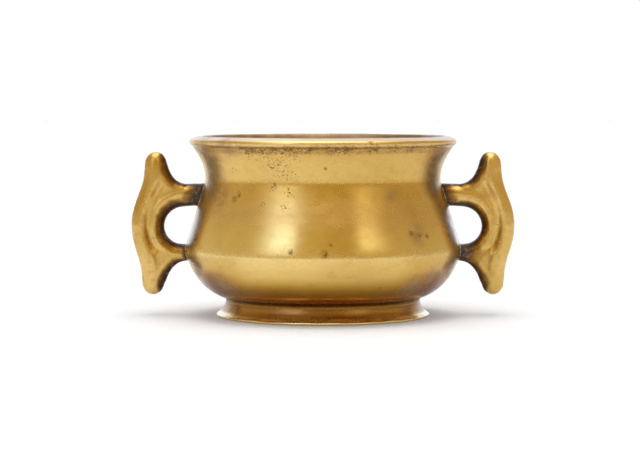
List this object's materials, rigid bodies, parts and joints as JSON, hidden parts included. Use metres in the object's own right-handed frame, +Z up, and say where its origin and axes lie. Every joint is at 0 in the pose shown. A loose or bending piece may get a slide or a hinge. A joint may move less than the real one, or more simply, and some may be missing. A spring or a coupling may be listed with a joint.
{
  "type": "incense burner",
  "caption": "Squat round bronze incense burner with a flaring lip, a bellied body, a low spreading foot and upright halberd-shaped side handles.",
  "frame": {"origin": "middle of the foot's underside, on the plane that the burner stands on", "axes": "+Z up along the bowl's axis, +X through the right handle, the view of the picture looks along +Y"},
  "size_m": [0.1666, 0.1194, 0.078],
  "materials": {
    "vessel_bronze": "polished golden bronze with brown patina and casting pits under the lip",
    "handle_bronze": "worn satin golden bronze, dark brown on the inner sides and at the joints"
  },
  "bodies": {
    "root": {"vessel": "vessel_bronze", "handle_left": "handle_bronze", "handle_right": "handle_bronze"}
  },
  "joints": []
}
